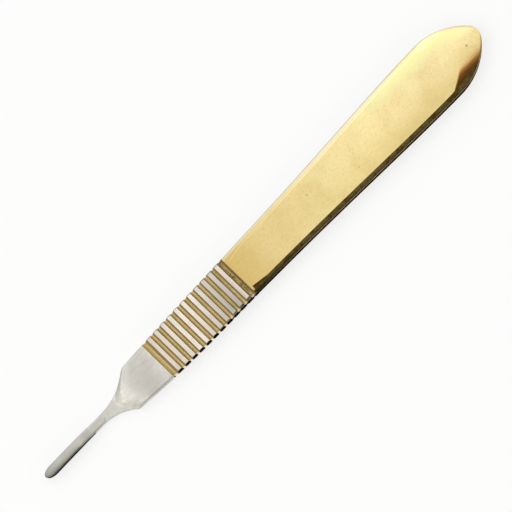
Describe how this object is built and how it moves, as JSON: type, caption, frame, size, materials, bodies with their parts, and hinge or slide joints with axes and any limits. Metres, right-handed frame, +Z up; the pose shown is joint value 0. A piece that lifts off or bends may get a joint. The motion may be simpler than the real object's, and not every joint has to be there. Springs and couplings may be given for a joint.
{
  "type": "scalpel handle",
  "caption": "Flat one-piece scalpel handle with an undercut fitting for a blade, a cross-grooved grip and a widening bevelled body with a pointed round tail.",
  "frame": {"origin": "centre of the bounding box, on the back face that the handle lies on", "axes": "+X from the nose of the blade fitting to the tail, +Y to the side of a fitted blade's cutting edge, +Z up out of the face with the fitting"},
  "size_m": [0.125, 0.0134, 0.003],
  "materials": {
    "handle": "stainless steel: body and grooves gold-plated and polished, ribs, front flat and blade fitting satin silver"
  },
  "bodies": {
    "root": {"handle": "handle"}
  },
  "joints": []
}
